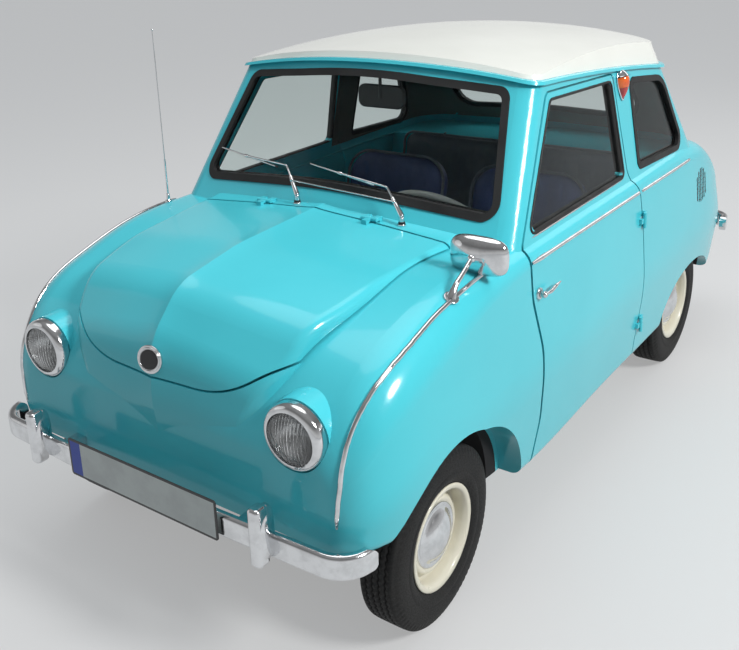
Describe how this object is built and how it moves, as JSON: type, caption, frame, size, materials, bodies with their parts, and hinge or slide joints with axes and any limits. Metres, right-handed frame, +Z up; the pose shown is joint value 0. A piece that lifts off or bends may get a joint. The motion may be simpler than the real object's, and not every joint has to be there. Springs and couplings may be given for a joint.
{
  "type": "microcar",
  "caption": "Small two-door saloon microcar with a rounded body, rear engine, rear-hinged doors, opening lids and steered wheels.",
  "frame": {"origin": "on the ground under the middle of the car's box", "axes": "-Y points to the front, +X to the car's left, +Z up"},
  "size_m": [1.3018, 2.925, 1.43],
  "materials": {
    "paint": "gloss",
    "roof_paint": "gloss",
    "glass": "clear",
    "lamp_glass": "clear",
    "seal_rubber": "satin",
    "chrome": "polished",
    "lamp_plastic": "gloss",
    "red_plastic": "gloss",
    "dark_plastic": "gloss",
    "dash_paint": "gloss",
    "seat_vinyl": "satin",
    "frame_steel": "satin",
    "plate_white": "gloss",
    "engine_metal": "matte",
    "exhaust_steel": "matte",
    "chassis_steel": "satin",
    "tyre": "matte",
    "wheel_paint": "gloss"
  },
  "bodies": {
    "body": {"antenna": "chrome", "body_shell": "paint", "dashboard": "dash_paint", "engine": "engine_metal", "exhaust": "exhaust_steel", "front_axle": "chassis_steel", "front_bumper": "chrome", "front_plate": "plate_white", "front_seats": "seat_vinyl", "headlamp_lenses": "lamp_glass", "headlamp_rims": "chrome", "indicators": "lamp_plastic", "inner_mirror": "dark_plastic", "quarter_windows": "glass", "rear_axle": "chassis_steel", "rear_bench": "seat_vinyl", "rear_bumper": "chrome", "rear_window": "glass", "roof_panel": "roof_paint", "seat_frames": "frame_steel", "steering_column": "dark_plastic", "tail_lamps": "red_plastic", "window_seals": "seal_rubber", "windscreen": "glass", "wing_mirror": "chrome", "wipers": "chrome"},
    "knuckle_left": {"knuckle_left": "chassis_steel"},
    "knuckle_right": {"knuckle_right": "chassis_steel"},
    "wheel_front_left": {"tyre_front_left": "tyre", "rim_front_left": "wheel_paint"},
    "wheel_front_right": {"tyre_front_right": "tyre", "rim_front_right": "wheel_paint"},
    "wheel_rear_left": {"tyre_rear_left": "tyre", "rim_rear_left": "wheel_paint"},
    "wheel_rear_right": {"tyre_rear_right": "tyre", "rim_rear_right": "wheel_paint"},
    "door_left": {"door_left": "paint", "door_glass_left": "glass", "door_handle_left": "chrome"},
    "door_right": {"door_right": "paint", "door_glass_right": "glass", "door_handle_right": "chrome"},
    "front_lid": {"front_lid": "paint"},
    "engine_lid": {"engine_lid": "paint"},
    "steering_wheel": {"steering_wheel": "dark_plastic"}
  },
  "joints": [
    {"name": "steer_left", "type": "hinge", "parent": "body", "child": "knuckle_left", "pos_m": [0.47, -0.967, 0.24], "axis": [0, 0, 1], "range_deg": [-28, 28]},
    {"name": "steer_right", "type": "hinge", "parent": "body", "child": "knuckle_right", "pos_m": [-0.47, -0.967, 0.24], "axis": [0, 0, 1], "range_deg": [-28, 28]},
    {"name": "steering_turn", "type": "hinge", "parent": "body", "child": "steering_wheel", "pos_m": [0.235, -0.345, 0.8], "axis": [0, 0.8192, 0.5736], "range_deg": [-340, 340]},
    {"name": "spin_front_left", "type": "hinge", "parent": "knuckle_left", "child": "wheel_front_left", "pos_m": [0.545, -0.967, 0.24], "axis": [1, 0, 0], "continuous": true},
    {"name": "spin_rear_left", "type": "hinge", "parent": "body", "child": "wheel_rear_left", "pos_m": [0.545, 0.833, 0.24], "axis": [1, 0, 0], "continuous": true},
    {"name": "spin_front_right", "type": "hinge", "parent": "knuckle_right", "child": "wheel_front_right", "pos_m": [-0.545, -0.967, 0.24], "axis": [1, 0, 0], "continuous": true},
    {"name": "spin_rear_right", "type": "hinge", "parent": "body", "child": "wheel_rear_right", "pos_m": [-0.545, 0.833, 0.24], "axis": [1, 0, 0], "continuous": true},
    {"name": "door_left_open", "type": "hinge", "parent": "body", "child": "door_left", "pos_m": [0.644, 0.284, 0.365], "axis": [-0.0353, 0, 0.9994], "range_deg": [0, 65]},
    {"name": "door_right_open", "type": "hinge", "parent": "body", "child": "door_right", "pos_m": [-0.644, 0.284, 0.365], "axis": [-0.0353, 0, -0.9994], "range_deg": [0, 65]},
    {"name": "front_lid_open", "type": "hinge", "parent": "body", "child": "front_lid", "pos_m": [0, -0.664, 0.934], "axis": [-1, 0, 0], "range_deg": [0, 55]},
    {"name": "engine_lid_open", "type": "hinge", "parent": "body", "child": "engine_lid", "pos_m": [0, 1.015, 0.87], "axis": [1, 0, 0], "range_deg": [0, 65]}
  ],
  "couplings": [
    {"joint": "steer_right", "follows": "steer_left", "ratio": 1},
    {"joint": "steering_turn", "follows": "steer_left", "ratio": 12}
  ]
}
